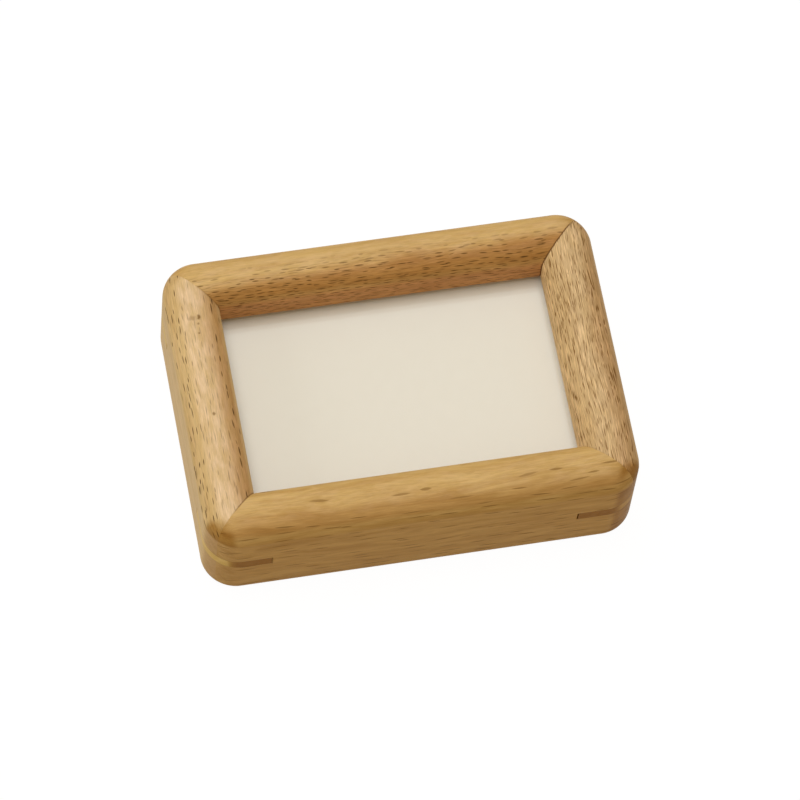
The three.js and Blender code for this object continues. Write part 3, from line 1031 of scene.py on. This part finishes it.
def make_clip(name):
    joints = frame["record"]["behaviour"]["joints"]
    pivot = next(joint["pos_m"] for joint in joints if joint["child"] == f"clip_{name}")
    mesh = grown(f"clip_{name}", bpy.data.meshes.new("nothing"), SWIVEL_CLIP, {
        "Pivot": (pivot[0], pivot[1], (clip_low.z + clip_high.z) / 2),
        "Turn": SIDES[name]["turn"],
        "Finish": STEEL,
    }, bevel=STAMPED_EDGE)
    show(f"stamped_clip_{name}", mesh, f"clip_{name}", "plated_steel", f"swivel_clip_{name}")


for side_name in SIDES:
    make_clip(side_name)

# %% [markdown]
# The rivets are all alike and stay with the board. One rivet is turned about its axis, as on a lathe,
# and the ring of four, stretched to the clips' pivots, sets it four times.

# %% The rivets
RIVET_HEAD_HEIGHT = 1.0 * MM
RIVET_SHANK_RADIUS = 1.5 * MM
RIVET_FLANGE_RADIUS = 2.4 * MM
RIVET_FLANGE_THICKNESS = 0.6 * MM
RIVET_HEAD_STEPS = 12
RIVET_SIDES = 48


def turned_rivet():
    head_radius = (pivot_high.x - pivot_low.x) / 2
    seat = pivot_low.z + RIVET_HEAD_HEIGHT
    flange = pivot_high.z - RIVET_FLANGE_THICKNESS
    profile = arc((0, seat), (head_radius, RIVET_HEAD_HEIGHT), 270, 360, RIVET_HEAD_STEPS)
    profile += [(RIVET_SHANK_RADIUS, seat), (RIVET_SHANK_RADIUS, flange), (RIVET_FLANGE_RADIUS, flange)]
    profile += [(RIVET_FLANGE_RADIUS, pivot_high.z), (0, pivot_high.z)]
    shape = bmesh.new()
    points = [shape.verts.new((r, 0, z)) for r, z in profile]
    edges = [shape.edges.new(pair) for pair in zip(points, points[1:])]
    bmesh.ops.spin(shape, geom=points + edges, axis=(0, 0, 1), cent=(0, 0, 0), steps=RIVET_SIDES,
                   angle=4 * QUARTER, use_merge=True)
    return welded(shape, bpy.data.meshes.new("turned_rivet"))


side_low, side_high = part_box("clip_rivet_right")
rivets = grown("board_rivets", turned_rivet(), RING_OF_FOUR, {
    "Spread": ((side_low.x + side_high.x) / 2, -CLIP_PIVOT_Y, 1.0), "Start": 0.0, "Finish": STEEL})
show("board_rivets", rivets, "frame", "plated_steel", *(f"clip_rivet_{name}" for name in SIDES))

# %% [markdown]
# ## Acrylic, card and board
#
# These three are flat sheets, and the solids already have their shape, so they stay and only get better
# finishes. Clear acrylic is a glossy shell that bends light. A path tracer finds few lamps through it,
# so the rays that gather light for the card, shadow rays and diffuse ones, are let straight through with
# a Light Path switch.

# %% Clear acrylic
ACRYLIC_COLOUR = (0.985, 0.99, 0.985, 1)
ACRYLIC_IOR = 1.49
HAZE_SCALE = 0.08


def dress(node, material):
    frame["nodes"][node].material_slots[0].material = material
    print(node, "wears", material.name)


def share_surface(nodes, share, shader, other):
    """Lets a second shader take a share of a material's surface."""
    both = nodes.value("MixShader", {0: share, 1: Value(nodes, shader.outputs[0]), 2: other})
    nodes.plug(nodes.tree.nodes["Material Output"].inputs["Surface"], both)


def clear_acrylic():
    material, nodes, shader = new_finish("clear_acrylic")
    haze = nodes.millimetres().noise(HAZE_SCALE, 3.0)
    nodes.plug(shader.inputs["Roughness"], haze.ramp(0.3, 0.8, 0.015, 0.05))
    shader.inputs["Base Color"].default_value = ACRYLIC_COLOUR
    shader.inputs["Transmission Weight"].default_value = 1.0
    shader.inputs["IOR"].default_value = ACRYLIC_IOR
    rays = nodes.values("LightPath")
    lighting = nodes.math("MAXIMUM", rays["Is Shadow Ray"], rays["Is Diffuse Ray"])
    share_surface(nodes, lighting, shader, nodes.value("BsdfTransparent"))
    return material


dress("acrylic_sheet", clear_acrylic())

# %% [markdown]
# Card and fibreboard are both felted from fibres. One group makes that: short fibres of two tones and a
# few specks. The card takes it fine and nearly even, the board coarse and strong.

# %% Felted fibres as a node group
CLOUD_SCALE = 0.35
STRAND_SCALE = (1.0, 3.2, 1.0)
SPECK_SCALE = 0.22


def felted_fibres():
    nodes, given, made = new_tree(
        "felted_fibres", "Shader",
        {"Vector": "Place", "Color": "Base, Dark", "Float": "Fineness, Contrast, Specks"},
        {"Color": "Color", "Float": "Height"})
    place = given["Place"] * given["Fineness"]
    cloud = place.noise(CLOUD_SCALE).ramp(0.3, 0.7)
    strands = place.noise(STRAND_SCALE, 5.0, 0.7, distortion=1.2)
    tone = strands.ramp(0.3, 0.75) * 0.65 + cloud * 0.35
    colour = (tone * given["Contrast"]).mix(given["Base"], given["Dark"])
    scatter = nodes.values("TexVoronoi", {"Vector": place, "Scale": SPECK_SCALE})
    there = scatter["Color"].x < given["Specks"]
    speck = scatter["Distance"].ramp(0.03, 0.07, 1.0, 0.0) * there
    nodes.plug(made["Color"], (speck * 0.5).mix(colour, given["Dark"]))
    nodes.plug(made["Height"], strands)
    return nodes.done()


FELTED_FIBRES = felted_fibres()


# %% Card and board
def felted(name, roughness, relief, **fibre_values):
    material, nodes, shader = new_finish(name, specular=0.2)
    fibres = nodes.values("Group", {"Place": nodes.millimetres(), **fibre_values},
                          node_tree=FELTED_FIBRES)
    coat(nodes, shader, fibres["Color"], roughness, fibres["Height"], strength=0.3, relief=relief)
    return material


dress("picture_card", felted(
    "cream_card", roughness=0.85, relief=0.02 * MM, Base=(0.79, 0.73, 0.617, 1),
    Dark=(0.64, 0.56, 0.44, 1), Fineness=1.4, Contrast=0.16, Specks=0.06))
dress("backing_board", felted(
    "hardboard", roughness=0.62, relief=0.06 * MM, Base=(0.26, 0.15, 0.07, 1),
    Dark=(0.12, 0.062, 0.027, 1), Fineness=0.8, Contrast=0.9, Specks=0.3))

# %% [markdown]
# ## Floor and light
#
# The photograph is a studio shot on white. The floor is pale, warm paper. Where it is seen, by the
# camera, in a reflection or through glass, it also glows, so that it reads as white and keeps only a
# faint shadow. The light that it throws back on to the wood stays that of the paper.

# %% Floor
WHITE = (1, 1, 1, 1)
FLOOR_COLOUR = (0.6, 0.51, 0.4, 1)
FLOOR_ROUGHNESS = 0.9
FLOOR_SIZE = 6.0
FLOOR_DROP = 0.2 * MM
FLOOR_GLOW = 1.06
FLOOR_GLOW_SHARE = 0.92


def seen_directly(nodes):
    """1 for rays that see the surface from the camera, in a reflection or through glass."""
    rays = nodes.values("LightPath")
    direct = nodes.math("MAXIMUM", rays["Is Camera Ray"], rays["Is Glossy Ray"])
    return nodes.math("MAXIMUM", direct, rays["Is Transmission Ray"])


def make_floor():
    material, nodes, shader = new_finish("white_paper", specular=0.0)
    shader.inputs["Base Color"].default_value = FLOOR_COLOUR
    shader.inputs["Roughness"].default_value = FLOOR_ROUGHNESS
    glow = nodes.value("Emission", {"Color": WHITE, "Strength": FLOOR_GLOW})
    share_surface(nodes, seen_directly(nodes) * FLOOR_GLOW_SHARE, shader, glow)
    mesh = bpy.data.meshes.new("floor")
    half = FLOOR_SIZE / 2
    corners = [(-half, -half), (half, -half), (half, half), (-half, half)]
    mesh.from_pydata([(x, y, -FLOOR_DROP) for x, y in corners], [], [(0, 1, 2, 3)])
    mesh.materials.append(material)
    floor = placed("floor", mesh)
    return floor


print("floor:", make_floor().name, FLOOR_SIZE, "m")

# %% [markdown]
# A large soft lamp hangs almost overhead, a little behind and to the left, and a weaker one stands low at
# the left, like a window. Both are a little cool, and neither shows in reflections. A warm, even room
# fills the rest, so the front of the ring lies in soft shade.

# %% Lamps and room
LAMP_DISTANCE = 1.1
LAMP_COLOUR = (0.98, 1.065, 1.18)
LAMPS = {
    "soft_box": {"direction": (-0.08, 0.2, 0.977), "size": 0.6, "level": 0.555},
    "side_window": {"direction": (-0.93, 0.05, 0.36), "size": 0.5, "level": 0.19},
}
ROOM_LEVEL = 0.46
ROOM_COLOUR = (1.0, 0.87, 0.64, 1)


def make_lamp(name, direction, size, level):
    """A square lamp. Its level is how bright a white surface that faces it gets."""
    outwards = Vector(direction).normalized()
    data = bpy.data.lights.new(name, "AREA")
    data.shape = "SQUARE"
    data.size = size
    data.color = LAMP_COLOUR
    data.energy = level * math.pi**2 * LAMP_DISTANCE**2
    lamp = placed(name, data)
    lamp.location = outwards * LAMP_DISTANCE
    lamp.rotation_euler = outwards.to_track_quat("Z", "Y").to_euler()
    lamp.visible_glossy = False
    lamp.visible_transmission = False
    return lamp


def make_room():
    """An even world: white where it is seen, and warm and dimmer where it lights."""
    world = bpy.data.worlds.new("white_room")
    world.use_nodes = True
    nodes = Nodes(world.node_tree)
    background = world.node_tree.nodes["Background"]
    direct = seen_directly(nodes)
    nodes.plug(background.inputs["Color"], direct.mix(ROOM_COLOUR, WHITE))
    nodes.plug(background.inputs["Strength"], direct.between(ROOM_LEVEL, 1.0))
    bpy.context.scene.world = world
    return world


for lamp_name, lamp_values in LAMPS.items():
    print("lamp:", make_lamp(lamp_name, **lamp_values).name)
print("room:", make_room().name)
bpy.context.scene.view_settings.view_transform = "Standard"
